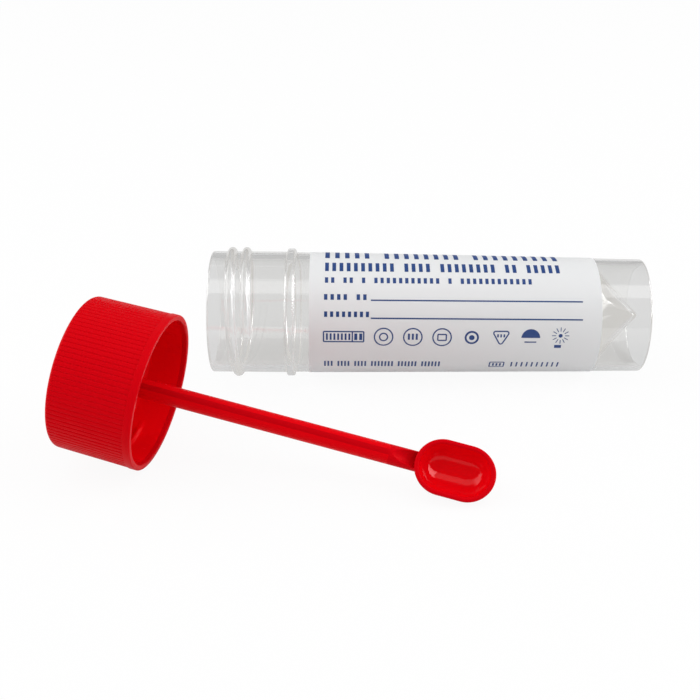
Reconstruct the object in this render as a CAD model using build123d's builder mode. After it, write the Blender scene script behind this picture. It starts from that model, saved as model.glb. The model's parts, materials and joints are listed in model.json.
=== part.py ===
"""Specimen container: a clear 30 mL screw-neck tube with its paper label, and its cap.

The tube is one polystyrene moulding: a screw neck with a one-and-a-half-turn thread, a stop
collar under it, a slightly tapered body, a conical inner floor, and the skirt that the tube
stands on. The cap is one polypropylene moulding: a ribbed closure with an internal thread and
a sampling spoon that hangs from its middle. The two lie side by side, with the cap taken off:
the tube on its collar and its foot, the cap on its rim and on the bowl of its spoon.

Each piece is modelled standing in the frame in which it was moulded, and laid down at the end.
Units are millimetres. In the finished part +Z is up, the tube lies along X with its mouth
towards -X, and the origin is at the middle of the underside of the bounding box.
"""
from build123d import *
from math import asin, atan2, cos, hypot, radians, sin, tan
import os

# ---- Tube: moulded standing on its foot at z = 0, with its mouth up ----
tube_length = 89.8
neck_radius = 12.7
neck_wall = 1.4
body_top_radius = 12.6
foot_radius = 11.75
body_wall = 1.4
mouth_round = 0.4
foot_round = 0.4

collar_below_mouth = 16.6        # mouth to the middle of the collar
collar_radius = 13.4
collar_width = 1.7
collar_round = 0.4

cone_half_angle = 46.0           # of the conical floor, from the tube's axis
cone_wall = 0.9
cone_tip_above_foot = 0.6        # underside of the rounded tip
cone_tip_round = 0.8             # on the underside
floor_tip_round = 0.3            # on the inside
skirt_wall = 1.0

# ---- Screw thread: right-handed, shared by the neck and the cap ----
thread_pitch = 3.0
thread_crest_radius = 13.6
thread_bead_radius = 0.9
thread_turns = 1.4
thread_below_mouth = 3.8         # mouth to the bead's middle where the thread begins
thread_start_angle = 60.0        # about the tube's axis, from the side that lies uppermost

# ---- Label: wrapped round the body, with a gap at the back ----
label_below_mouth = 20.6
label_length = 59.0
label_thickness = 0.1
label_wrap = 280.0               # degrees of the body that it covers
label_middle_angle = -70.0       # about the tube's axis, from the side that lies uppermost

# ---- Cap: moulded with its opening at z = 0, its top below and its spoon upwards ----
cap_height = 16.2
cap_top_thickness = 1.5
cap_crown_radius = 14.45
cap_grip_radius = 14.7           # of the ribs where they meet the rim band
cap_crown_round = 0.8
rim_band_radius = 14.8
rim_band_width = 1.4
rim_round = 0.25
thread_clearance = 0.15          # between the thread's crest and the cap's bore
ridge_clearance = 0.25           # between the cap's ridge and the neck
ridge_root_width = 1.7
ridge_crest_width = 0.6
ridge_turns = 1.5
ridge_below_opening = 5.2        # opening to the ridge's middle where it begins
ridge_start_angle = 169.0        # about the cap's axis, from the side that the bowl opens to
ridge_root = 0.15                # how far the ridge is rooted in the wall

rib_count = 100
rib_depth = 0.25
rib_groove_width = 0.5           # at the crest
rib_groove_floor = 0.2

# ---- Spoon: on the cap's axis, with its bowl open towards +X ----
stem_radius = 1.85
stem_root_round = 0.6
spoon_reach = 63.2               # opening to the tip of the bowl
bowl_length = 14.8
bowl_width = 10.4
bowl_wall = 0.85
bowl_rim_height = 1.4            # rim above the stem's axis
bowl_rim_round = 0.4
scoop_radius = 1.55              # trough that hollows the stem towards the bowl
scoop_length = 4.6
scoop_axis_height = 1.3          # trough's axis above the stem's, at the bowl

# ---- How the two lie ----
cap_beyond_mouth = 5.85          # middle of the cap's opening past the tube's mouth
cap_beside_tube = 34.8           # and in front of the tube's axis
cap_turn = -12.45                # of the cap's axis from the tube's, in plan
spoon_roll = 40.6                # of the bowl, from facing up towards the front

# ---- Sizes that follow ----
neck_bore_radius = neck_radius - neck_wall
collar_z = tube_length - collar_below_mouth
collar_bottom_z = collar_z - collar_width / 2
collar_top_z = collar_z + collar_width / 2
body_draft = (body_top_radius - foot_radius) / collar_bottom_z
cap_bore_radius = thread_crest_radius + thread_clearance
cap_floor_z = cap_top_thickness - cap_height
bowl_radius = bowl_width / 2
bowl_back_z = spoon_reach - bowl_length + bowl_radius
bowl_front_z = spoon_reach - bowl_radius


def body_radius(z):
    """Outside radius of the tapered body, at a height above the foot."""
    return foot_radius + body_draft * z


def tip_arc(apex_z, radius):
    """Half of a cone's rounded tip, from the axis out, for the height of its sharp apex."""
    centre_z = apex_z + radius / sin(radians(cone_half_angle))
    return CenterArc((0, centre_z), radius, -90, 90 - cone_half_angle)


def lean(run, rise, step):
    """Angle at which run * sin - rise * cos = step: the tilt of a piece on two supports."""
    return atan2(rise, run) + asin(step / hypot(run, rise))


# ---- Tube ----
tip_rise = cone_tip_round / sin(radians(cone_half_angle)) - cone_tip_round
under_apex_z = cone_tip_above_foot - tip_rise
floor_apex_z = under_apex_z + cone_wall / sin(radians(cone_half_angle))
cone_slope = 1 / tan(radians(cone_half_angle))
skirt_inner_radius = foot_radius - skirt_wall
# The conical floor meets the bore where the sloping cone reaches the tapering wall.
floor_rim_z = (floor_apex_z + (foot_radius - body_wall) * cone_slope) / (1 - body_draft * cone_slope)
floor_rim_radius = body_radius(floor_rim_z) - body_wall
skirt_rim_radius = skirt_inner_radius + body_draft * (under_apex_z + skirt_inner_radius * cone_slope)
skirt_rim_z = under_apex_z + skirt_rim_radius * cone_slope

with BuildPart() as tube:
    with BuildSketch(Plane.XZ) as tube_section:
        with BuildLine():
            under_tip = tip_arc(under_apex_z, cone_tip_round)
            floor_tip = tip_arc(floor_apex_z, floor_tip_round)
            Polyline(
                under_tip @ 1,
                (skirt_rim_radius, skirt_rim_z),
                (skirt_inner_radius, 0),
                (foot_radius, 0),
                (body_top_radius, collar_bottom_z),
                (collar_radius, collar_bottom_z),
                (collar_radius, collar_top_z),
                (neck_radius, collar_top_z),
                (neck_radius, tube_length),
                (neck_bore_radius, tube_length),
                (neck_bore_radius, collar_top_z),
                (floor_rim_radius, floor_rim_z),
                floor_tip @ 1,
            )
            Line(floor_tip @ 0, under_tip @ 0)
        make_face()
    revolve(axis=Axis.Z)

    circles = tube.edges().filter_by(GeomType.CIRCLE)
    mouth_edges = circles.filter_by_position(Axis.Z, tube_length, tube_length)
    foot_edges = circles.filter_by_position(Axis.Z, 0, 0)
    collar_edges = circles.filter_by(lambda edge: abs(edge.radius - collar_radius) < 0.01)
    fillet(mouth_edges, mouth_round)
    fillet(foot_edges, foot_round)
    fillet(collar_edges, collar_round)
    skirt_rim = tube.edges().filter_by(GeomType.CIRCLE).sort_by(
        lambda edge: abs(edge.center().Z - skirt_rim_z) + abs(edge.radius - skirt_rim_radius)
    )[0]
    fillet(skirt_rim, skirt_wall / 2)

    # The thread is a round bead that stands half out of the neck and ends in half balls.
    thread_height = thread_pitch * thread_turns
    thread_plane = Plane.XY.offset(tube_length - thread_below_mouth - thread_height)
    with BuildLine(thread_plane.rotated((0, 0, thread_start_angle - 360 * thread_turns))) as thread_path:
        Helix(thread_pitch, thread_height, thread_crest_radius - thread_bead_radius)
    with BuildSketch(Plane(thread_path.line @ 0, z_dir=thread_path.line % 0)):
        Circle(thread_bead_radius)
    sweep(path=thread_path.line, is_frenet=True)
    with Locations(thread_path.line @ 0, thread_path.line @ 1):
        Sphere(thread_bead_radius)

# ---- Label ----
label_top_z = tube_length - label_below_mouth
label_bottom_z = label_top_z - label_length

with BuildPart() as label:
    with BuildSketch(Plane.XZ.rotated((0, 0, label_middle_angle - label_wrap / 2))):
        with BuildLine():
            Polyline(
                (body_radius(label_bottom_z), label_bottom_z),
                (body_radius(label_bottom_z) + label_thickness, label_bottom_z),
                (body_radius(label_top_z) + label_thickness, label_top_z),
                (body_radius(label_top_z), label_top_z),
                close=True,
            )
        make_face()
    revolve(axis=Axis.Z, revolution_arc=label_wrap)

# ---- Cap, with the spoon moulded into it ----
grip_length = cap_height - rim_band_width
grip_draft = atan2(cap_grip_radius - cap_crown_radius, grip_length)
groove_plane = Plane(
    origin=(cap_crown_radius, 0, -cap_height),
    x_dir=(0, 1, 0),
    z_dir=(sin(grip_draft), 0, cos(grip_draft)),
)

# One groove between two ribs, along the drafted side: it is cut once for each rib.
with BuildPart() as groove:
    with BuildSketch(groove_plane):
        with BuildLine():
            Polyline(
                (rib_groove_width, -rib_depth),
                (rib_groove_width / 2, 0),
                (rib_groove_floor / 2, rib_depth),
                (-rib_groove_floor / 2, rib_depth),
                (-rib_groove_width / 2, 0),
                (-rib_groove_width, -rib_depth),
                close=True,
            )
        make_face()
    extrude(amount=grip_length / cos(grip_draft))

ridge_reach = cap_bore_radius - neck_radius - ridge_clearance
ridge_height = thread_pitch * ridge_turns
# The underside of the stem runs out in the middle of the bowl's wall.
stem_run_out = (bowl_radius - bowl_wall / 2) ** 2 - (bowl_rim_height + stem_radius) ** 2
stem_length = bowl_back_z - stem_run_out**0.5 - cap_floor_z
bowl_heel_z = spoon_reach - bowl_length
scoop_climb = stem_radius + scoop_radius - scoop_axis_height


def bowl_half_plan(radius):
    """Half of the bowl's plan, on one side of its long axis, in the plane of its rim."""
    with BuildSketch(Plane.YZ.offset(bowl_rim_height), mode=Mode.PRIVATE) as half_plan:
        with BuildLine():
            heel = CenterArc((0, bowl_back_z), radius, -90, 90)
            toe = CenterArc((0, bowl_front_z), radius, 0, 90)
            Line(heel @ 1, toe @ 0)
            Line(toe @ 1, heel @ 0)
        make_face()
    return half_plan.sketch


# The bowl is half a capsule, hollowed by a smaller one, with a rounded rim.
bowl_axis = Axis((bowl_rim_height, 0, 0), (0, 0, 1))
with BuildPart() as bowl:
    revolve(bowl_half_plan(bowl_radius), axis=bowl_axis, revolution_arc=180)
    revolve(
        bowl_half_plan(bowl_radius - bowl_wall),
        axis=bowl_axis,
        revolution_arc=180,
        mode=Mode.SUBTRACT,
    )
    fillet(bowl.edges().filter_by_position(Axis.X, bowl_rim_height, bowl_rim_height), bowl_rim_round)

with BuildPart() as cap_with_spoon:
    with BuildSketch(Plane.XZ):
        with BuildLine():
            Polyline(
                (0, -cap_height),
                (cap_crown_radius, -cap_height),
                (cap_grip_radius, -rim_band_width),
                (rim_band_radius, -rim_band_width),
                (rim_band_radius, 0),
                (cap_bore_radius, 0),
                (cap_bore_radius, cap_floor_z),
                (0, cap_floor_z),
                close=True,
            )
        make_face()
    revolve(axis=Axis.Z)
    fillet(cap_with_spoon.edges().filter_by_position(Axis.Z, 0, 0), rim_round)
    crown_edge = cap_with_spoon.edges().filter_by(GeomType.CIRCLE).sort_by(Axis.Z)[0]
    fillet(crown_edge, cap_crown_round)
    with PolarLocations(0, rib_count):
        add(groove.part, mode=Mode.SUBTRACT)

    # Ridge that runs under the neck's thread: a blunt tooth, swept down the bore.
    ridge_plane = Plane.XY.offset(-ridge_below_opening - ridge_height)
    with BuildLine(ridge_plane.rotated((0, 0, ridge_start_angle - 360 * ridge_turns))) as ridge_path:
        Helix(thread_pitch, ridge_height, cap_bore_radius)
    ridge_foot = ridge_path.line @ 0
    with BuildSketch(
        Plane(ridge_foot, x_dir=(ridge_foot.X, ridge_foot.Y, 0), z_dir=ridge_path.line % 0)
    ):
        with BuildLine():
            Polyline(
                (ridge_root, -ridge_root_width / 2),
                (ridge_root, ridge_root_width / 2),
                (-ridge_reach, ridge_crest_width / 2),
                (-ridge_reach, -ridge_crest_width / 2),
                close=True,
            )
        make_face()
    sweep(path=ridge_path.line, is_frenet=True)

    # Stem, hollowed by a slanting trough where it runs out into the bowl.
    with BuildSketch(Plane.XY.offset(cap_floor_z)):
        Circle(stem_radius)
    extrude(amount=stem_length)
    stem_root = cap_with_spoon.edges().filter_by(GeomType.CIRCLE).sort_by(
        lambda edge: abs(edge.center().Z - cap_floor_z) + abs(edge.radius - stem_radius)
    )[0]
    fillet(stem_root, stem_root_round)
    with BuildSketch(
        Plane(origin=(scoop_axis_height, 0, bowl_heel_z), z_dir=(scoop_climb, 0, -scoop_length))
    ):
        Circle(scoop_radius)
    extrude(amount=2 * scoop_length, both=True, mode=Mode.SUBTRACT)

    # The stem ends at the inside of the bowl.
    revolve(bowl_half_plan(bowl_radius - bowl_wall), axis=bowl_axis, mode=Mode.SUBTRACT)
    add(bowl.part)

# ---- Lay the two down: the tube on its collar and foot, the cap on its rim and bowl ----
tube_lean = lean(
    collar_bottom_z + collar_round - foot_round,
    collar_radius - collar_round - foot_radius + foot_round,
    collar_round - foot_round,
)
foot_height = (foot_radius - foot_round) * cos(tube_lean) + foot_round * (1 - sin(tube_lean))
tube_lying = Plane(
    origin=(0, 0, foot_height),
    x_dir=(sin(tube_lean), 0, cos(tube_lean)),
    z_dir=(-cos(tube_lean), 0, sin(tube_lean)),
)

cap_lean = lean(
    bowl_front_z + rim_round,
    rim_band_radius - rim_round + bowl_rim_height * cos(radians(spoon_roll)),
    rim_round - bowl_radius,
)
opening_height = (rim_band_radius - rim_round) * cos(cap_lean) + rim_round * (1 - sin(cap_lean))
turn = radians(cap_turn)
cap_facing_up = Plane(
    origin=(-tube_length * cos(tube_lean) - cap_beyond_mouth, -cap_beside_tube, opening_height),
    x_dir=(sin(cap_lean) * cos(turn), sin(cap_lean) * sin(turn), cos(cap_lean)),
    z_dir=(cos(cap_lean) * cos(turn), cos(cap_lean) * sin(turn), -sin(cap_lean)),
)

tube.part.locate(tube_lying.location)
label.part.locate(tube_lying.location)
cap_with_spoon.part.locate(cap_facing_up.location * Rotation(0, 0, spoon_roll))

# The origin goes to the middle of the underside of everything.
box = Compound([tube.part, label.part, cap_with_spoon.part]).bounding_box()
centring = Location((-box.center().X, -box.center().Y, -box.min.Z))

os.makedirs("parts", exist_ok=True)
for piece in (tube.part, label.part, cap_with_spoon.part):
    piece.locate(centring * piece.location)

tube.part.label = "tube"
export_step(tube.part, "parts/tube.step")
label.part.label = "label"
export_step(label.part, "parts/label.step")
cap_with_spoon.part.label = "cap_with_spoon"
export_step(cap_with_spoon.part, "parts/cap_with_spoon.step")
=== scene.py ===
"""Specimen container: a clear 30 mL screw-neck tube with its paper label, and its ribbed red
cap with a sampling spoon, as they lie side by side.

Each piece is built in its own moulding frame, in millimetres: the tube stands on its foot at
z = 0 with its mouth up, and the cap has its opening at z = 0 with its spoon upwards. The two
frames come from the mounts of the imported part. The print on the label is a set of plain bars,
rules and simple shapes.
"""
import json
from math import asin, atan2, ceil, cos, degrees, hypot, pi, radians, sin, sqrt, tan

import bmesh
import bpy
import numpy as np
from mathutils import Matrix, Vector


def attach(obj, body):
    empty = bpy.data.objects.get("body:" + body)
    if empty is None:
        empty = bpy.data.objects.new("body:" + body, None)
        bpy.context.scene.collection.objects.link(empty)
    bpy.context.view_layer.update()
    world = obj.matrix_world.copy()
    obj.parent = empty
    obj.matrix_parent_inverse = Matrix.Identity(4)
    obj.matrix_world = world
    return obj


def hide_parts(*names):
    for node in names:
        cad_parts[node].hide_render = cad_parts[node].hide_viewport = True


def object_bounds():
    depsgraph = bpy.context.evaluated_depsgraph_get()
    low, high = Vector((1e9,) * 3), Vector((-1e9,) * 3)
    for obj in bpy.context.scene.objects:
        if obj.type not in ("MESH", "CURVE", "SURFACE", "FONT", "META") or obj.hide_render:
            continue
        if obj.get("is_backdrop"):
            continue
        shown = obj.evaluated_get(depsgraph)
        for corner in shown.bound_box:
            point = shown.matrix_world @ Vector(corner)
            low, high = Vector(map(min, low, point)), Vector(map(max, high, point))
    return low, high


MM = 0.001

# ---- Tube, mm ----
tube_length = 89.8
neck_radius = 12.7
neck_bore_radius = 11.3
body_top_radius = 12.6
foot_radius = 11.75
body_wall = 1.4
mouth_round = 0.4
foot_round = 0.4
root_round = 0.3                 # of the hollow edges, where the CAD solid has none
collar_below_mouth = 16.6
collar_radius = 13.4
collar_width = 1.7
collar_round = 0.4
cone_half_angle = 46.0
cone_wall = 0.9
cone_tip_above_foot = 0.6
cone_tip_round = 0.8
floor_tip_round = 0.3
floor_rim_round = 0.8            # where the conical floor meets the wall
skirt_wall = 1.0
skirt_root_round = 0.2           # tighter than on the CAD solid, whose edge would show
thread_pitch = 3.0
thread_bead_radius = 0.9
thread_root_round = 0.3
thread_turns = 1.4
thread_below_mouth = 3.8
thread_start_angle = 60.0

# ---- Label, mm: along is from its edge near the mouth, angles are from its middle line ----
label_below_mouth = 20.6
label_length = 59.0
label_thickness = 0.1
label_gap = 0.01                 # under the paper, so that it and the wall stay apart
label_wrap = 280.0
label_middle_angle = -70.0
print_relief = 0.012
front_angle = -61.4              # of the side that faces the camera, from uppermost
line_width = 0.27
symbol_row_angle = -24.5

# ---- Cap and spoon, mm ----
cap_height = 16.2
cap_top_thickness = 1.5
cap_crown_radius = 14.45
cap_grip_radius = 14.7
cap_crown_round = 0.8
rim_band_radius = 14.8
rim_band_width = 1.4
rim_round = 0.25
cap_bore_radius = 13.75
floor_round = 0.5
ridge_reach = 0.4
ridge_root_width = 1.7
ridge_turns = 1.5
ridge_below_opening = 5.2
ridge_start_angle = 169.0
ridge_run_in = 12.0              # degrees over which each end of the ridge rises
rib_count = 100
rib_depth = 0.11
rib_groove_width = 0.35
rib_groove_floor = 0.06
stem_radius = 1.85
stem_root_round = 0.6
spoon_reach = 63.2
bowl_length = 14.8
bowl_radius = 5.2
bowl_wall = 0.85
bowl_rim_height = 1.4
bowl_rim_round = 0.4
scoop_radius = 1.55
scoop_length = 3.7
scoop_axis_height = 1.3
spoon_roll = 40.6                # of the bowl, from facing up

# ---- Fineness of the meshes ----
tube_segments = 288
wall_step = 2.5                  # mm, along plain walls
thread_step = 0.09               # mm, along the neck
ridge_step = 0.15                # mm, along the cap's bore
rib_points = 15                  # round each rib
cap_plain_points = 300           # round the cap where it has no ribs
label_points = 225
label_rows = 12
stem_half_points = 60            # across the trough, and round each half of the stem's back
trough_rows = 40
trough_corner_points = 4         # over which the trough's edges are eased
bowl_steps = 20                  # from the bowl's bottom to its rim
bowl_end_points = 48
bowl_side_points = 8
same_radius = 1e-3               # mm
merge_distance = 1e-8            # m
sharp_angle = 40.0               # degrees, from which an edge isn't smoothed
far_away = 1e9

# ---- Looks. Levels of light are against the white of the background ----
paper_glow = 0.3                 # share of the light that the paper lets through
clear_depth = 4.5                # bounces after which light in the tube is taken as lost
clear_painted_glow = 0.66         # level of the even grey glow painted in place of lost light
floor_white_direct = 0.93        # share of plain white in the floor, to the camera
floor_white_indirect = 0.6       # the same, seen in a gloss or through the tube
floor_level_indirect = 0.65      # level of that white
room_light = 0.66                # on matt surfaces
room_dark = 0.06                 # seen in a gloss
room_through = 0.62              # seen through the tube
right_panel = 4.5                # seen in a gloss
left_panel = 0.9

# ---- Sizes that follow ----
collar_z = tube_length - collar_below_mouth
collar_bottom_z = collar_z - collar_width / 2
collar_top_z = collar_z + collar_width / 2
body_draft = (body_top_radius - foot_radius) / collar_bottom_z
cone_sine = sin(radians(cone_half_angle))
cone_slope = 1 / tan(radians(cone_half_angle))
under_apex_z = cone_tip_above_foot - cone_tip_round / cone_sine + cone_tip_round
floor_apex_z = under_apex_z + cone_wall / cone_sine
skirt_inner_radius = foot_radius - skirt_wall
cap_floor_z = cap_top_thickness - cap_height
bowl_back_z = spoon_reach - bowl_length + bowl_radius
bowl_front_z = spoon_reach - bowl_radius
bowl_heel_z = spoon_reach - bowl_length
label_top_z = tube_length - label_below_mouth

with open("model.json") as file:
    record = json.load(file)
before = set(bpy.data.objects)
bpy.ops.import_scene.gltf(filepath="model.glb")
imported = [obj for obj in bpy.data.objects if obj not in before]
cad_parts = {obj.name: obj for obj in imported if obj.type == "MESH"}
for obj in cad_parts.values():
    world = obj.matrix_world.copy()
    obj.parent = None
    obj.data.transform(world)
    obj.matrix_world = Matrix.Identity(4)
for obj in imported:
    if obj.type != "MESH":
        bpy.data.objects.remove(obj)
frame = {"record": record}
cad_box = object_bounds()
mounts = {mount["name"]: mount for mount in frame["record"]["mounts"]}


def moulding_frame(mount_name, back, roll):
    """World matrix, from mm, of the frame whose z runs out of a mount; back is how far its
    origin lies behind the mount, and roll turns its x from uppermost."""
    mount = mounts[mount_name]
    z = Vector(mount["axis"]).normalized()
    up = Vector((0, 0, 1))
    x = (up - z * up.dot(z)).normalized()
    x = Matrix.Rotation(radians(roll), 3, z) @ x
    y = z.cross(x)
    origin = Vector(mount["pos_m"]) - z * back * MM
    turn = Matrix((x, y, z)).transposed().to_4x4()
    return Matrix.Translation(origin) @ turn @ Matrix.Scale(MM, 4)


tube_frame = moulding_frame("neck_thread", tube_length, 0)
cap_frame = moulding_frame("cap_thread", 0, spoon_roll)


# ---- Mesh helpers ----
def body_radius(z):
    return foot_radius + body_draft * z


def rounded(corners, step=0.12, inner=False):
    """Points along a line of (r, z, rounding) corners, with an arc at each rounded one. inner
    leaves out both ends."""
    line = []
    for i, (r, z, rounding) in enumerate(corners):
        if inner and i in (0, len(corners) - 1):
            continue
        corner = np.array((r, z))
        if not rounding:
            line.append(corner)
            continue
        before = np.array(corners[i - 1][:2]) - corner
        after = np.array(corners[i + 1][:2]) - corner
        before, after = before / np.linalg.norm(before), after / np.linalg.norm(after)
        half = np.arccos(np.clip(before @ after, -1, 1)) / 2
        middle = (before + after) / np.linalg.norm(before + after)
        centre = corner + middle * rounding / sin(half)
        start = corner + before * rounding / tan(half) - centre
        end = corner + after * rounding / tan(half) - centre
        sweep = atan2(start[0] * end[1] - start[1] * end[0], start @ end)
        count = max(3, ceil(abs(sweep) * rounding / step), ceil(degrees(abs(sweep)) / 18))
        for k in range(count + 1):
            a = sweep * k / count
            line.append(centre + (
                start[0] * cos(a) - start[1] * sin(a),
                start[0] * sin(a) + start[1] * cos(a),
            ))
    return line


def tip(apex_z, rounding, count=5):
    """Half of a cone's rounded tip, from the axis out."""
    centre_z = apex_z + rounding / cone_sine
    return [
        np.array((rounding * sin(a), centre_z - rounding * cos(a)))
        for a in np.linspace(0, radians(90 - cone_half_angle), count + 1)
    ]


def divided(line, step, low=-far_away, high=far_away):
    """The line with points no more than step apart in z, between two heights."""
    result = [line[0]]
    for a, b in zip(line, line[1:]):
        inside = min(a[1], b[1]) < high and max(a[1], b[1]) > low
        count = max(1, ceil(abs(b[1] - a[1]) / step)) if inside else 1
        result += [a + (b - a) * k / count for k in range(1, count + 1)]
    return result


def ring(r, z, segments):
    """Points of a circle about z; r may be an array, one radius for each point."""
    angle = np.arange(segments) * 2 * pi / segments
    return np.stack((r * np.cos(angle), r * np.sin(angle), np.full(segments, z)), 1)


def skin(rows, closed=True, loop=False):
    """Vertices and faces of a surface through rows of points. A row of one point is a pole, and
    a row may have a whole number of times as many points as its neighbour. closed joins the
    ends of each row, and loop joins the last row to the first."""
    starts = np.cumsum([0] + [len(row) for row in rows])
    faces = []
    pairs = list(zip(range(len(rows) - 1), range(1, len(rows))))
    if loop:
        pairs.append((len(rows) - 1, 0))
    for a, b in pairs:
        na, nb = len(rows[a]), len(rows[b])
        sa, sb = int(starts[a]), int(starts[b])
        flip = na > nb
        if flip:
            na, nb, sa, sb = nb, na, sb, sa
        share = nb // na
        for i in range(nb if closed else nb - 1):
            j = (i + 1) % nb
            near, far = (i // share) % na, ((i + 1) // share) % na
            face = [sb + i, sb + j] if near == far or na == 1 else [sb + i, sb + j, sa + far]
            face.append(sa + near)
            faces.append(face[::-1] if flip else face)
    return np.concatenate(rows), faces


def piece(name, parts, place, *finishes):
    """One object from parts in a moulding frame. A part is its vertices, its faces and, where
    it doesn't have the first finish, the number of its own."""
    vertices, faces, numbers, count = [], [], [], 0
    for part_vertices, part_faces, *number in parts:
        vertices.append(np.asarray(part_vertices, float))
        faces += [[count + v for v in face] for face in part_faces]
        numbers += [number[0] if number else 0] * len(part_faces)
        count += len(part_vertices)
    mesh = bpy.data.meshes.new(name)
    mesh.from_pydata(np.concatenate(vertices), [], faces)
    for finish in finishes:
        mesh.materials.append(finish)
    mesh.polygons.foreach_set("material_index", numbers)
    mesh.transform(place)
    work = bmesh.new()
    work.from_mesh(mesh)
    bmesh.ops.remove_doubles(work, verts=work.verts, dist=merge_distance)
    bmesh.ops.dissolve_degenerate(work, edges=work.edges, dist=merge_distance)
    bmesh.ops.recalc_face_normals(work, faces=work.faces)
    work.to_mesh(mesh)
    work.free()
    mesh.shade_smooth()
    mesh.set_sharp_from_angle(angle=radians(sharp_angle))
    obj = bpy.data.objects.new(name, mesh)
    bpy.context.scene.collection.objects.link(obj)
    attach(obj, "root")
    return obj


def helix_distance(angle, z, radius, start_angle, start_z, turns):
    """Distance on a cylinder from points to a helix that rises from its start, and how far
    along the helix, in degrees, the nearest point is."""
    best = np.full(np.broadcast(angle, z).shape, far_away)
    where = np.zeros(best.shape)
    for k in range(-1, ceil(turns) + 2):
        run = (angle - start_angle) % 360 + 360 * k
        held = np.clip(run, 0, 360 * turns)
        rise = z - start_z - thread_pitch * held / 360
        away = np.hypot(rise, np.radians(run - held) * radius)
        nearer = away < best
        best = np.where(nearer, away, best)
        where = np.where(nearer, held, where)
    return best, where


# ---- Tube ----
def cone_rim(apex_z, radius):
    """Height at which a cone meets a drafted wall, from the wall's radius at the foot."""
    return (apex_z + radius * cone_slope) / (1 - body_draft * cone_slope)


floor_rim_z = cone_rim(floor_apex_z, foot_radius - body_wall)
skirt_rim_z = cone_rim(under_apex_z, skirt_inner_radius)
inner_line = tip(floor_apex_z, floor_tip_round) + rounded([
    (floor_tip_round, floor_apex_z + floor_tip_round * cone_slope, 0),
    (body_radius(floor_rim_z) - body_wall, floor_rim_z, floor_rim_round),
    (neck_bore_radius, collar_top_z, 0),
    (neck_bore_radius, tube_length, mouth_round),
    (neck_radius, tube_length, mouth_round),
    (neck_radius, collar_top_z, root_round),
    (collar_radius, collar_top_z, collar_round),
    (collar_radius, collar_bottom_z, collar_round),
    (body_radius(collar_bottom_z), collar_bottom_z, root_round),
    (foot_radius, 0, foot_round),
    (skirt_inner_radius, 0, foot_round),
    (skirt_inner_radius + body_draft * skirt_rim_z, skirt_rim_z, skirt_root_round),
    (cone_tip_round, under_apex_z + cone_tip_round * cone_slope, 0),
])[1:-1]
tube_line = inner_line + tip(under_apex_z, cone_tip_round)[::-1]
thread_low_z = tube_length - thread_below_mouth - thread_pitch * thread_turns
# From the bead's middle to the middle of its root's rounding.
bead_swing = sqrt((thread_bead_radius + thread_root_round) ** 2 - thread_root_round**2)
bead_edge = thread_bead_radius * bead_swing / (thread_bead_radius + thread_root_round)


def bead_height(away):
    """Height of the thread's bead above the neck, at a distance from its middle line."""
    crest = np.sqrt(np.clip(thread_bead_radius**2 - away**2, 0, None))
    root = thread_root_round - np.sqrt(
        np.clip(thread_root_round**2 - (bead_swing - away) ** 2, 0, None)
    )
    return np.where(away < bead_edge, crest, np.where(away < bead_swing, root, 0))


def tube_rows():
    low = thread_low_z - bead_swing
    line = divided(tube_line, wall_step)
    line = divided(line, thread_step, low, tube_length - mouth_round)
    angle = np.arange(tube_segments) * 360 / tube_segments
    for r, z in line:
        if r < same_radius:
            yield np.array(((0, 0, z),))
            continue
        radius = np.full(tube_segments, r)
        if r > neck_radius - same_radius and low < z < tube_length - mouth_round / 2:
            away, _ = helix_distance(
                angle, z, neck_radius,
                thread_start_angle - 360 * thread_turns, thread_low_z, thread_turns,
            )
            radius = radius + bead_height(away)
        yield ring(radius, z, tube_segments)


# ---- Materials ----
def material(name):
    made = bpy.data.materials.new(name)
    made.use_nodes = True
    tree = made.node_tree
    return made, tree, tree.nodes["Principled BSDF"], tree.nodes["Material Output"]


def add_node(tree, kind, links=(), **values):
    """A node with its settings or input values, and (output socket, input name) links to it."""
    made = tree.nodes.new(kind)
    for name, value in values.items():
        if hasattr(made, name) and name not in made.inputs:
            setattr(made, name, value)
        else:
            made.inputs[name.replace("_", " ")].default_value = value
    for source, target in links:
        tree.links.new(source, made.inputs[target])
    return made


def calculated(tree, operation, *values):
    """The result of a math node on sockets and numbers."""
    made = add_node(tree, "ShaderNodeMath", operation=operation)
    for socket, value in zip(made.inputs, values):
        if isinstance(value, (int, float)):
            socket.default_value = value
        else:
            tree.links.new(value, socket)
    return made.outputs["Value"]


def mixed(tree, share, shader, other):
    """A mix of two shaders, with the other's share as a socket or a number."""
    mix = add_node(tree, "ShaderNodeMixShader", [(shader, 1), (other, 2)])
    if isinstance(share, float):
        mix.inputs[0].default_value = share
    else:
        tree.links.new(share, mix.inputs[0])
    return mix.outputs["Shader"]


def varied(tree, shader, socket, scale, low, high, detail=3.0):
    """Drives a shader's value by noise, between two levels."""
    place = add_node(tree, "ShaderNodeTexCoord")
    noise = add_node(
        tree, "ShaderNodeTexNoise", [(place.outputs["Object"], "Vector")],
        Scale=scale, Detail=detail,
    )
    levels = add_node(
        tree, "ShaderNodeMapRange", [(noise.outputs["Fac"], "Value")],
        From_Min=0.3, From_Max=0.7, To_Min=low, To_Max=high,
    )
    tree.links.new(levels.outputs["Result"], shader.inputs[socket])
    return noise


def grained(tree, shader, noise, strength, distance):
    bump = add_node(
        tree, "ShaderNodeBump", [(noise.outputs["Fac"], "Height")],
        Strength=strength, Distance=distance,
    )
    tree.links.new(bump.outputs["Normal"], shader.inputs["Normal"])


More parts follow.
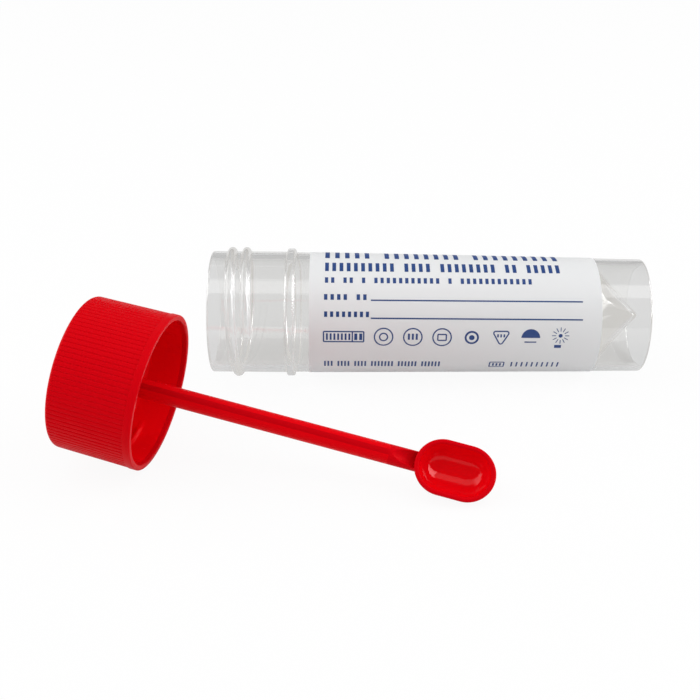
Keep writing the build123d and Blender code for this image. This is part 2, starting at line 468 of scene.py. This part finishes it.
def clear_plastic():
    made, tree, shader, output = material("clear_polystyrene")
    shader.inputs["Base Color"].default_value = (0.97, 0.97, 0.965, 1)
    shader.inputs["Transmission Weight"].default_value = 1.0
    shader.inputs["IOR"].default_value = 1.57
    varied(tree, shader, "Roughness", 60, 0.0, 0.03)
    path = add_node(tree, "ShaderNodeLightPath")
    open_light = add_node(tree, "ShaderNodeBsdfTransparent", Color=(0.9, 0.91, 0.915, 1))
    either = calculated(
        tree, "MAXIMUM", path.outputs["Is Shadow Ray"], path.outputs["Is Diffuse Ray"]
    )
    look = mixed(tree, either, shader.outputs["BSDF"], open_light.outputs["BSDF"])
    # Light that has been thrown about inside for long is taken as lost, and an even grey glow is
    # painted in its place. This is painted light, not light carried through the tube.
    lost = calculated(tree, "GREATER_THAN", path.outputs["Ray Depth"], clear_depth)
    even = add_node(
        tree, "ShaderNodeEmission", Color=(1, 0.975, 0.94, 1), Strength=clear_painted_glow
    )
    look = mixed(tree, lost, look, even.outputs["Emission"])
    tree.links.new(look, output.inputs["Surface"])
    return made


def paper():
    made, tree, shader, output = material("paper_label")
    shader.inputs["Base Color"].default_value = (0.87, 0.875, 0.88, 1)
    noise = varied(tree, shader, "Roughness", 900, 0.42, 0.56, 6)
    grained(tree, shader, noise, 0.15, 0.02 * MM)
    glow = add_node(tree, "ShaderNodeBsdfTranslucent", Color=(0.95, 0.95, 0.95, 1))
    look = mixed(tree, paper_glow, shader.outputs["BSDF"], glow.outputs["BSDF"])
    tree.links.new(look, output.inputs["Surface"])
    return made


def blue_ink():
    made, tree, shader, _ = material("blue_ink")
    shader.inputs["Base Color"].default_value = (0.012, 0.05, 0.2, 1)
    varied(tree, shader, "Roughness", 1500, 0.4, 0.6)
    return made


def red_plastic(name, depth, smoothest, roughest, gloss, sheen_tint):
    """depth is the level of the red. Above the 0.6 of the plain outside it also holds painted
    light, which stands in for light that reaches the hollows.
    gloss is the level of the reflection, of which sheen_tint keeps the green and blue."""
    made, tree, shader, _ = material(name)
    shader.inputs["Base Color"].default_value = (depth, 0.001, 0.005, 1)
    shader.inputs["Subsurface Weight"].default_value = 0.1
    shader.inputs["Subsurface Radius"].default_value = (1.0, 0.1, 0.1)
    shader.inputs["Subsurface Scale"].default_value = 0.8 * MM
    shader.inputs["IOR"].default_value = 1.49
    shader.inputs["Specular IOR Level"].default_value = gloss
    shader.inputs["Specular Tint"].default_value = (1, sheen_tint, sheen_tint, 1)
    noise = varied(tree, shader, "Roughness", 450, smoothest, roughest, 4)
    grained(tree, shader, noise, 0.04, 0.02 * MM)
    return made


clear, white_paper, ink = clear_plastic(), paper(), blue_ink()
# One red moulding in three copies. The polished copy's smoother, glossier surface is real. Its
# lighter red, and that of the inside copy, is painted light that stands in for light reaching the
# spoon's hollow and the cap's inside.
satin_red = red_plastic("red_polypropylene", 0.6, 0.3, 0.42, 0.06, 0.1)
polished_red_painted_light = red_plastic("red_polypropylene_polished_painted_light", 0.78, 0.05, 0.09, 0.45, 0.5)
hollow_red_painted_light = red_plastic("red_polypropylene_inside_painted_light", 0.8, 0.2, 0.3, 0.15, 0.1)

tube = piece("tube_moulding", [skin(list(tube_rows()))], tube_frame, clear)
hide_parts("tube")


# ---- Label and its print ----
def edge_shift(angle):
    """How far a straight-cut edge runs towards the mouth, away from the label's middle line."""
    return body_top_radius * np.radians(angle) ** 2 * body_draft / 2


def on_label(along, angle, lift):
    """A point on the label, lift above the tube's wall."""
    z = label_top_z - along + edge_shift(angle)
    radius = body_radius(z) + lift
    about = np.radians(label_middle_angle + angle)
    return np.stack(np.broadcast_arrays(radius * np.cos(about), radius * np.sin(about), z), -1)


def label_sheet():
    angle = np.linspace(-label_wrap / 2, label_wrap / 2, label_points)
    angle = np.clip(angle, 1 - label_wrap / 2, label_wrap / 2 - 1)
    length = np.linspace(0, label_length, label_rows)
    section = [(0, label_gap)] + [(along, label_thickness) for along in length]
    section += [(along, label_gap) for along in length[:0:-1]]
    rows = [on_label(along, angle, lift) for along, lift in section]
    vertices, faces = skin(rows, closed=False, loop=True)
    count = len(angle)
    faces += [[k * count for k in range(len(rows))][::-1]]
    faces += [[k * count + count - 1 for k in range(len(rows))]]
    return vertices, faces


label = piece("label_sheet", [label_sheet()], tube_frame, white_paper)
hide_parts("label")

print_turn = front_angle - label_middle_angle    # from angles about the front to the label's


def mm_to_degrees(mm):
    return degrees(mm / body_top_radius)


def slab(one_side, other_side):
    """The four rows of a thin raised shape between two outlines of (along, angle) points."""
    top, bottom = label_thickness + print_relief, label_thickness - print_relief
    rows = []
    for points, lift in (
        (one_side, top), (other_side, top), (other_side, bottom), (one_side, bottom)
    ):
        along, angle = np.array(points).T
        # A row keeps its distance from the paper's middle line while the body tapers.
        spread = body_top_radius / body_radius(label_top_z - along)
        rows.append(on_label(along, (angle + print_turn) * spread, lift))
    return rows


def strip(one_side, other_side):
    """A filled shape between two sides that run from one end to the other."""
    vertices, faces = skin(slab(one_side, other_side), closed=False, loop=True)
    count = len(one_side)
    ends = [[k * count + end for k in range(4)] for end in (0, count - 1)]
    return vertices, faces + [ends[0][::-1], ends[1]]


def bar(along, low, length, high):
    """A block from its corner: along and length in mm, low and high in degrees."""
    angle = np.linspace(low, high, max(1, ceil((high - low) / 2.5)) + 1)
    return strip([(along, a) for a in angle], [(along + length, a) for a in angle])


def placed(centre, shape):
    """(along, across) points in mm about a centre, as (along, angle) points."""
    return [(centre[0] + along, centre[1] + mm_to_degrees(across)) for along, across in shape]


def stroke(centre, start, end, width=0.0):
    """A straight line between two (along, across) points about a centre."""
    width = width or line_width
    start, end = np.array(start, float), np.array(end, float)
    way = (end - start) / np.linalg.norm(end - start)
    side = np.array((way[1], -way[0])) * width / 2
    points = [start + (end - start) * k / 4 for k in range(5)]
    return strip(placed(centre, [p + side for p in points]),
                 placed(centre, [p - side for p in points]))


def disc(centre, radius, low=-1.0):
    """A disc, or the part of it above low times its radius."""
    across = radius * np.sin(np.linspace(asin(low), pi / 2, 17))
    reach = np.sqrt(np.clip(radius**2 - across**2, 0, None))
    return strip(placed(centre, list(zip(-reach, across))),
                 placed(centre, list(zip(reach, across))))


def outline(centre, shape, width=0.0):
    """A line along a closed shape of (along, across) points."""
    shape = np.array(shape)
    way = np.roll(shape, -1, 0) - np.roll(shape, 1, 0)
    way /= np.linalg.norm(way, axis=1)[:, None]
    side = np.stack((way[:, 1], -way[:, 0]), 1) * (width or line_width) / 2
    return skin(slab(placed(centre, shape + side), placed(centre, shape - side)), loop=True)


def circle(radius):
    return [(radius * cos(a), radius * sin(a)) for a in np.linspace(0, 2 * pi, 33)[:-1]]


def polygon(corners, rounding=0.15):
    """A closed shape with rounded corners, and points along its sides."""
    around = [corners[-1]] + corners + [corners[0]]
    bends = rounded([(x, y, rounding) for x, y in around], 0.1, True)
    shape = []
    for a, b in zip(bends, bends[1:] + bends[:1]):
        count = ceil(np.linalg.norm(b - a) / 0.4)
        shape += [a + (b - a) * k / count for k in range(count)]
    return shape


def box(width, height):
    x, y = width / 2, height / 2
    return polygon([(-x, -y), (x, -y), (x, y), (-x, y)])


def words(lengths, along, end, low, high, share=0.52):
    """A row of words between two places, with a block for each letter."""
    pitch = (end - along) / (sum(lengths) + len(lengths) - 2 + share)
    shapes = []
    for length in lengths:
        for _ in range(length):
            shapes.append(bar(along, low, pitch * share, high))
            along += pitch
        along += pitch
    return shapes


# Rows of words: the letters in each word, where the row starts and ends, the angles of its
# lower and upper edges, and the inked share of each letter's place.
upper_rows = [
    ([5, 8, 9], 3.2, 51.1, 60, 88, 0.45),
    ([10, 4, 8, 2, 5], 3.2, 51.0, 39.4, 51.3),
    ([2, 2, 1, 11, 1, 12], 3.2, 45.0, 26.1, 32.0),
    ([4, 2], 3.05, 11.6, 9.6, 14.9),
    ([8], 3.1, 12.1, -6.0, -1.0),
]
lower_rows = [
    ([3, 4, 4, 7, 6, 6], 3.1, 26.9, -62.4, -53.5),
    ([3], 37.7, 39.5, -61.0, -56.0),
    ([10], 41.5, 51.3, -62.3, -53.8, 0.3),
]
lower_box = (38.6, -58.5)
rule_angles = (8.8, -7.6)        # of the two rules to write on
rule_start, rule_length, rule_height = 12.45, 42.65, 1.3

# Along the row of symbols.
divided_box_at, ring_places, disc_at = 7.05, (15.1, 21.0, 26.9), 32.9
triangle_at, dome_at, rays_at = 38.8, 44.8, 50.8
ray_count = 12


def symbols():
    """A row of plain marks: a divided box, three rings, and four small figures."""
    middle = symbol_row_angle
    yield outline((divided_box_at, middle), box(8.1, 2.2))
    yield stroke((8.8, middle), (0, -1.05), (0, 1.05))
    yield from words([7], 3.5, 8.4, middle - 3.2, middle + 3.2, 0.5)
    yield from words([2], 9.2, 10.8, middle - 3.2, middle + 3.2, 0.6)
    for along in ring_places:
        yield outline((along, middle), circle(1.85))
    yield outline((ring_places[0], middle), circle(0.8))
    yield from words([3], 20.0, 22.0, middle - 2.5, middle + 3.5)
    yield outline((ring_places[2], middle), box(1.7, 1.3))
    yield disc((disc_at, middle), 0.55)
    yield outline((disc_at, middle), circle(1.25), 0.4)
    yield outline((triangle_at, middle), polygon([(-1.8, 1.4), (0, -1.8), (1.8, 1.4)], 0.4))
    yield from words([3], 38.0, 39.6, middle + 0.5, middle + 3.5)
    yield disc((dome_at, middle), 1.9, 0.02)
    yield stroke((dome_at, middle), (-1.2, -0.9), (1.2, -0.9))
    sun = (rays_at, middle + 2.5)
    yield disc(sun, 0.4)
    for k in range(ray_count):
        a = 2 * pi * k / ray_count
        way = np.array((cos(a), sin(a)))
        yield stroke(sun, 0.9 * way, 1.75 * way, 0.16)
    yield stroke((50.4, middle - 8.5), (-0.7, 0), (0.7, 0), 0.7)


def label_print():
    """All of the print, from the upper edge down."""
    shapes = [shape for row in upper_rows for shape in words(*row)]
    for angle in rule_angles:
        shapes.append(bar(rule_start, angle, rule_length, angle + rule_height))
    shapes += symbols()
    shapes.append(outline(lower_box, box(2.9, 1.9)))
    return shapes + [shape for row in lower_rows for shape in words(*row)]


printed = piece("label_print", label_print(), tube_frame, ink)


# ---- Cap with its spoon ----
def cap_outside():
    """Rows from the middle of the top to the rim band."""
    grip = rib_points * rib_count
    pitch = 2 * pi * cap_grip_radius / rib_count
    from_groove = np.abs((np.arange(grip) / rib_points + 0.5) % 1 - 0.5) * pitch
    groove = (rib_groove_width / 2 - from_groove) / (rib_groove_width - rib_groove_floor) * 2
    groove = np.clip(groove, 0, 1)
    groove = groove * groove * (3 - 2 * groove)
    crown = rounded([
        (0, -cap_height, 0),
        (cap_crown_radius, -cap_height, cap_crown_round),
        (cap_grip_radius, -rim_band_width, 0),
    ])
    crown = divided(crown, wall_step)
    draft = (cap_grip_radius - cap_crown_radius) / (cap_height - rim_band_width)
    yield np.array(((0, 0, -cap_height),))
    yield ring(cap_crown_radius * 0.5, -cap_height, cap_plain_points)
    for r, z in crown[1:]:
        floor = cap_crown_radius + draft * (z + cap_height) - rib_depth * groove
        yield ring(np.minimum(r, floor), z, grip)
    yield ring(cap_grip_radius, -rim_band_width, cap_plain_points)


def cap_rim():
    """Rows from the rim band round the rim into the bore."""
    for r, z in rounded([
        (cap_grip_radius, -rim_band_width, 0),
        (rim_band_radius, -rim_band_width, 0.04),
        (rim_band_radius, 0, rim_round),
        (cap_bore_radius, 0, rim_round),
        (cap_bore_radius, -1, 0),
    ])[1:]:
        yield ring(r, z, cap_plain_points)


def cap_inside():
    """Rows down the bore and over the floor, to the stem's root."""
    plain = cap_plain_points
    angle = np.arange(plain) * 360 / plain
    inside = rounded([
        (cap_bore_radius, -1, 0),
        (cap_bore_radius, cap_floor_z, floor_round),
        (stem_radius, cap_floor_z, stem_root_round),
        (stem_radius, scoop_start_z, 0),
    ])
    ridge_low_z = -ridge_below_opening - thread_pitch * ridge_turns
    for r, z in bore_divided(inside):
        radius = np.full(plain, r)
        if r > cap_bore_radius - same_radius:
            away, where = helix_distance(
                angle, z, cap_bore_radius,
                ridge_start_angle - 360 * ridge_turns, ridge_low_z, ridge_turns,
            )
            height = np.clip(1 - away / (ridge_root_width / 2), 0, 1)
            height = ridge_reach * height * height * (3 - 2 * height)
            ends = np.minimum(where, 360 * ridge_turns - where) / ridge_run_in
            radius = radius - height * np.clip(ends, 0, 1)
        yield ring(radius, z, plain)


def bore_divided(line):
    """The inside's line, finely divided on the bore alone."""
    bore = [p for p in line if p[0] > cap_bore_radius - same_radius]
    return divided(bore, ridge_step) + line[len(bore):]


scoop_climb = stem_radius + scoop_radius - scoop_axis_height
scoop_start_z = bowl_heel_z - scoop_length - 1.0


def scoop_floor(across, z):
    """Height of the trough's surface above the stem's axis, or a large number off it."""
    axis_height = scoop_axis_height + scoop_climb * (bowl_heel_z - z) / scoop_length
    stretch = hypot(scoop_climb, scoop_length) / scoop_length
    reach = scoop_radius**2 - across**2
    return np.where(reach > 0, axis_height - stretch * np.sqrt(np.clip(reach, 0, None)), far_away)


def trough_edge(z):
    """Angle from uppermost at which the trough cuts the stem's side, or 18 degrees where the
    stem is still whole or the cut is narrower."""
    edge = radians(18)
    for angle in np.linspace(radians(4), radians(89), 340):
        if scoop_floor(np.array(stem_radius * sin(angle)), z) < stem_radius * cos(angle):
            edge = max(edge, angle + 1e-3)
    return edge


def eased(points, corner_distance):
    """Points round the stem, smoothed near the trough's two edges."""
    near = np.abs(corner_distance) < trough_corner_points
    for _ in range(3):
        points = np.where(
            near, (np.roll(points, 1) + 2 * points + np.roll(points, -1)) / 4, points
        )
    return points


def spoon_stem():
    """The stem, hollowed by the trough, with its end in the bowl's wall."""
    half = stem_half_points
    wall_radius = bowl_radius - bowl_wall / 2
    rows = []
    for z in np.linspace(scoop_start_z, bowl_heel_z, trough_rows + 1):
        edge = trough_edge(z)
        across = stem_radius * np.sin(np.linspace(-edge, edge, half + 1))
        top = np.sqrt(np.clip(stem_radius**2 - across**2, 0, None))
        back = np.linspace(edge, 2 * pi - edge, half * 2 + 1)[1:-1]
        x = np.concatenate((np.minimum(top, scoop_floor(across, z)), stem_radius * np.cos(back)))
        y = np.concatenate((across, stem_radius * np.sin(back)))
        corner_distance = np.abs(np.arange(len(x)) - half) - half
        x, y = eased(x, corner_distance), eased(y, corner_distance)
        rows.append(np.stack((x, y, np.full(len(x), z)), 1))
    last = rows[-1]
    for share in (0.34, 0.67, 1.0):
        row = last.copy()
        sunk = wall_radius**2 - (row[:, 0] - bowl_rim_height) ** 2 - row[:, 1] ** 2
        end = bowl_back_z - np.sqrt(np.clip(sunk, 0, None))
        row[:, 2] += share * (end - row[:, 2])
        rows.append(row)
    start = rows[0].copy()
    start[:, 2] = cap_floor_z + 1.0
    middle = np.array(((0, 0, cap_floor_z + 1.0),))
    return skin([middle, start] + rows + [rows[-1].mean(0)[None]])


def arc(radius, start, end, steps):
    """Points of an arc between two angles in degrees."""
    angles = [radians(start + (end - start) * k / steps) for k in range(steps + 1)]
    return [(radius * cos(a), radius * sin(a)) for a in angles]


def spoon_bowl():
    """Half a capsule, hollowed by a smaller one, with a rounded rim: its shell, and its
    hollow."""
    inner_radius = bowl_radius - bowl_wall
    section = arc(bowl_radius, -90, 0, bowl_steps)[:-1]
    lip = rounded([
        (*section[-1], 0),
        (bowl_radius, 0, bowl_rim_round),
        (inner_radius, 0, bowl_rim_round),
        (*arc(inner_radius, 0, -10, 1)[1], 0),
    ], 0.05)
    section += [tuple(p) for p in lip[1:-1]]
    section += arc(inner_radius, 0, -90, bowl_steps)[1:]
    path = []
    for end, far_end, turn in ((bowl_front_z, bowl_back_z, 0), (bowl_back_z, bowl_front_z, 180)):
        for k in range(bowl_end_points + 1):
            path.append((end, radians(turn - 90 + 180 * k / bowl_end_points)))
        for k in range(1, bowl_side_points):
            path.append((end + (far_end - end) * k / bowl_side_points, radians(turn + 90)))
    rows = [
        np.array([(bowl_rim_height + up, out * sin(a), z + out * cos(a)) for z, a in path])
        for out, up in section
    ]
    return skin(rows[:-bowl_steps]), skin(rows[-bowl_steps - 1:])


bowl_shell, bowl_hollow = spoon_bowl()
# The cap's inside takes the inside copy and the bowl's hollow takes the polished one. Both have
# painted light in their lighter red.
cap = piece(
    "cap_and_spoon",
    [
        skin(list(cap_outside()) + list(cap_rim())),
        (*skin(list(cap_inside())), 2),
        spoon_stem(),
        bowl_shell,
        (*bowl_hollow, 1),
    ],
    cap_frame, satin_red, polished_red_painted_light, hollow_red_painted_light,
)
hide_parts("cap_with_spoon")

# ---- Camera ----
photo_side = 700                 # px
focal_px = 1137.8
camera_place = Vector((-0.43, -195.79, 121.6)) * MM
camera_pitch = 28.67             # degrees below the horizon
camera_turn = 0.87               # degrees left of +Y
camera_roll = -1.04

camera_data = bpy.data.cameras.new("camera")
camera_data.sensor_width = 36
camera_data.lens = focal_px / photo_side * camera_data.sensor_width
camera_data.clip_start = 0.01
camera_data.clip_end = 20
camera = bpy.data.objects.new("camera", camera_data)
camera.matrix_world = (
    Matrix.Translation(camera_place)
    @ Matrix.Rotation(radians(camera_turn), 4, "Z")
    @ Matrix.Rotation(radians(90 - camera_pitch), 4, "X")
    @ Matrix.Rotation(radians(camera_roll), 4, "Z")
)
bpy.context.scene.collection.objects.link(camera)
bpy.context.scene.camera = camera


# ---- Floor, surroundings and lamps ----
def floor_material():
    """White to the camera, with the object's shadow: lightly where it is seen directly, and
    more where it is seen in a gloss or through the tube."""
    made, tree, shader, output = material("floor")
    tree.nodes.remove(shader)
    path = add_node(tree, "ShaderNodeLightPath")
    direct = path.outputs["Is Camera Ray"]
    indirect = calculated(
        tree, "MAXIMUM", path.outputs["Is Glossy Ray"], path.outputs["Is Transmission Ray"]
    )
    share = calculated(
        tree, "MAXIMUM",
        calculated(tree, "MULTIPLY", direct, floor_white_direct),
        calculated(tree, "MULTIPLY", indirect, floor_white_indirect),
    )
    matt = add_node(tree, "ShaderNodeBsdfDiffuse", Color=(0.8, 0.8, 0.8, 1))
    white = add_node(tree, "ShaderNodeEmission", Color=(1, 1, 1, 1))
    level = calculated(tree, "MAXIMUM", direct, floor_level_indirect)
    tree.links.new(level, white.inputs["Strength"])
    look = mixed(tree, share, matt.outputs["BSDF"], white.outputs["Emission"])
    tree.links.new(look, output.inputs["Surface"])
    return made


floor_half = 3.0                 # m
floor_mesh = bpy.data.meshes.new("floor")
floor_mesh.from_pydata(
    [(-floor_half, -floor_half, 0), (floor_half, -floor_half, 0),
     (floor_half, floor_half, 0), (-floor_half, floor_half, 0)],
    [], [(0, 1, 2, 3)],
)
floor_mesh.materials.append(floor_material())
floor_object = bpy.data.objects.new("floor", floor_mesh)
bpy.context.scene.collection.objects.link(floor_object)
floor_object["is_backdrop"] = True

world = bpy.data.worlds.new("studio")
bpy.context.scene.world = world
world.use_nodes = True
tree = world.node_tree
shade = tree.nodes["Background"]
direction = add_node(tree, "ShaderNodeTexCoord")
axes = add_node(tree, "ShaderNodeSeparateXYZ", [(direction.outputs["Generated"], "Vector")])
path = add_node(tree, "ShaderNodeLightPath")
direct, glossy, through = (
    path.outputs[name] for name in ("Is Camera Ray", "Is Glossy Ray", "Is Transmission Ray")
)
# The white backdrop stands behind the object, and the room is dark in front and above.
low = add_node(tree, "ShaderNodeMapRange", [(axes.outputs["Z"], "Value")],
               From_Min=0.02, From_Max=0.12, To_Min=1.0, To_Max=0.0)
behind = add_node(tree, "ShaderNodeMapRange", [(axes.outputs["Y"], "Value")],
                  From_Min=0.0, From_Max=0.3, To_Min=0.0, To_Max=1.0)
backdrop = calculated(tree, "MULTIPLY", low.outputs["Result"], behind.outputs["Result"])
level = add_node(tree, "ShaderNodeMix", [
    (calculated(tree, "MAXIMUM", glossy, through), 0), (backdrop, 3),
])
level.inputs[2].default_value = room_light
level = level.outputs[0]
least = calculated(
    tree, "MAXIMUM",
    calculated(tree, "MULTIPLY", glossy, room_dark),
    calculated(tree, "MULTIPLY", through, room_through),
)
level = calculated(tree, "MAXIMUM", level, calculated(tree, "MAXIMUM", least, direct))


def reflected_panel(brightness, **limits):
    """A bright panel at the side, seen only in a gloss, between two values along each axis."""
    seen = glossy
    for axis, (lowest, highest) in limits.items():
        inside = calculated(
            tree, "COMPARE", axes.outputs[axis], (lowest + highest) / 2, (highest - lowest) / 2
        )
        seen = calculated(tree, "MULTIPLY", seen, inside)
    return calculated(tree, "MULTIPLY", seen, brightness)


for panel in (
    reflected_panel(right_panel, X=(0, 1), Y=(-0.42, 0.42), Z=(0.03, 0.8)),
    reflected_panel(left_panel, X=(-1, 0), Y=(-0.31, 0.56), Z=(-0.02, 0.85)),
):
    level = calculated(tree, "MAXIMUM", level, panel)
tree.links.new(level, shade.inputs["Strength"])
shade.inputs["Color"].default_value = (1, 1, 1, 1)

lamp_target = Vector((0, 0, 15)) * MM


def softbox(name, azimuth, elevation, distance, width, depth, radiance):
    """A soft lamp aimed at the middle of the object, with its distance, width and depth in m.
    Azimuth is from the front (-Y) to the right, and radiance is its brightness against
    white."""
    a, e = radians(azimuth), radians(elevation)
    way = Vector((sin(a) * cos(e), -cos(a) * cos(e), sin(e)))
    data = bpy.data.lights.new(name, "AREA")
    data.shape = "RECTANGLE"
    data.size, data.size_y = width, depth
    data.energy = radiance * pi * width * depth
    lamp = bpy.data.objects.new(name, data)
    lamp.matrix_world = (
        Matrix.Translation(way * distance + lamp_target)
        @ way.to_track_quat("Z", "Y").to_matrix().to_4x4()
    )
    lamp.visible_camera = False
    bpy.context.scene.collection.objects.link(lamp)


softbox("overhead", 0, 78, 0.6, 0.9, 0.31, 1.05)
softbox("left", -94, 29, 0.7, 0.6, 0.6, 1.9)
softbox("right", 91, 28, 0.7, 0.6, 0.6, 2.1)

bpy.context.scene.view_settings.view_transform = "Standard"

[[list(map(float, corner)) for corner in box] for box in (cad_box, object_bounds())]
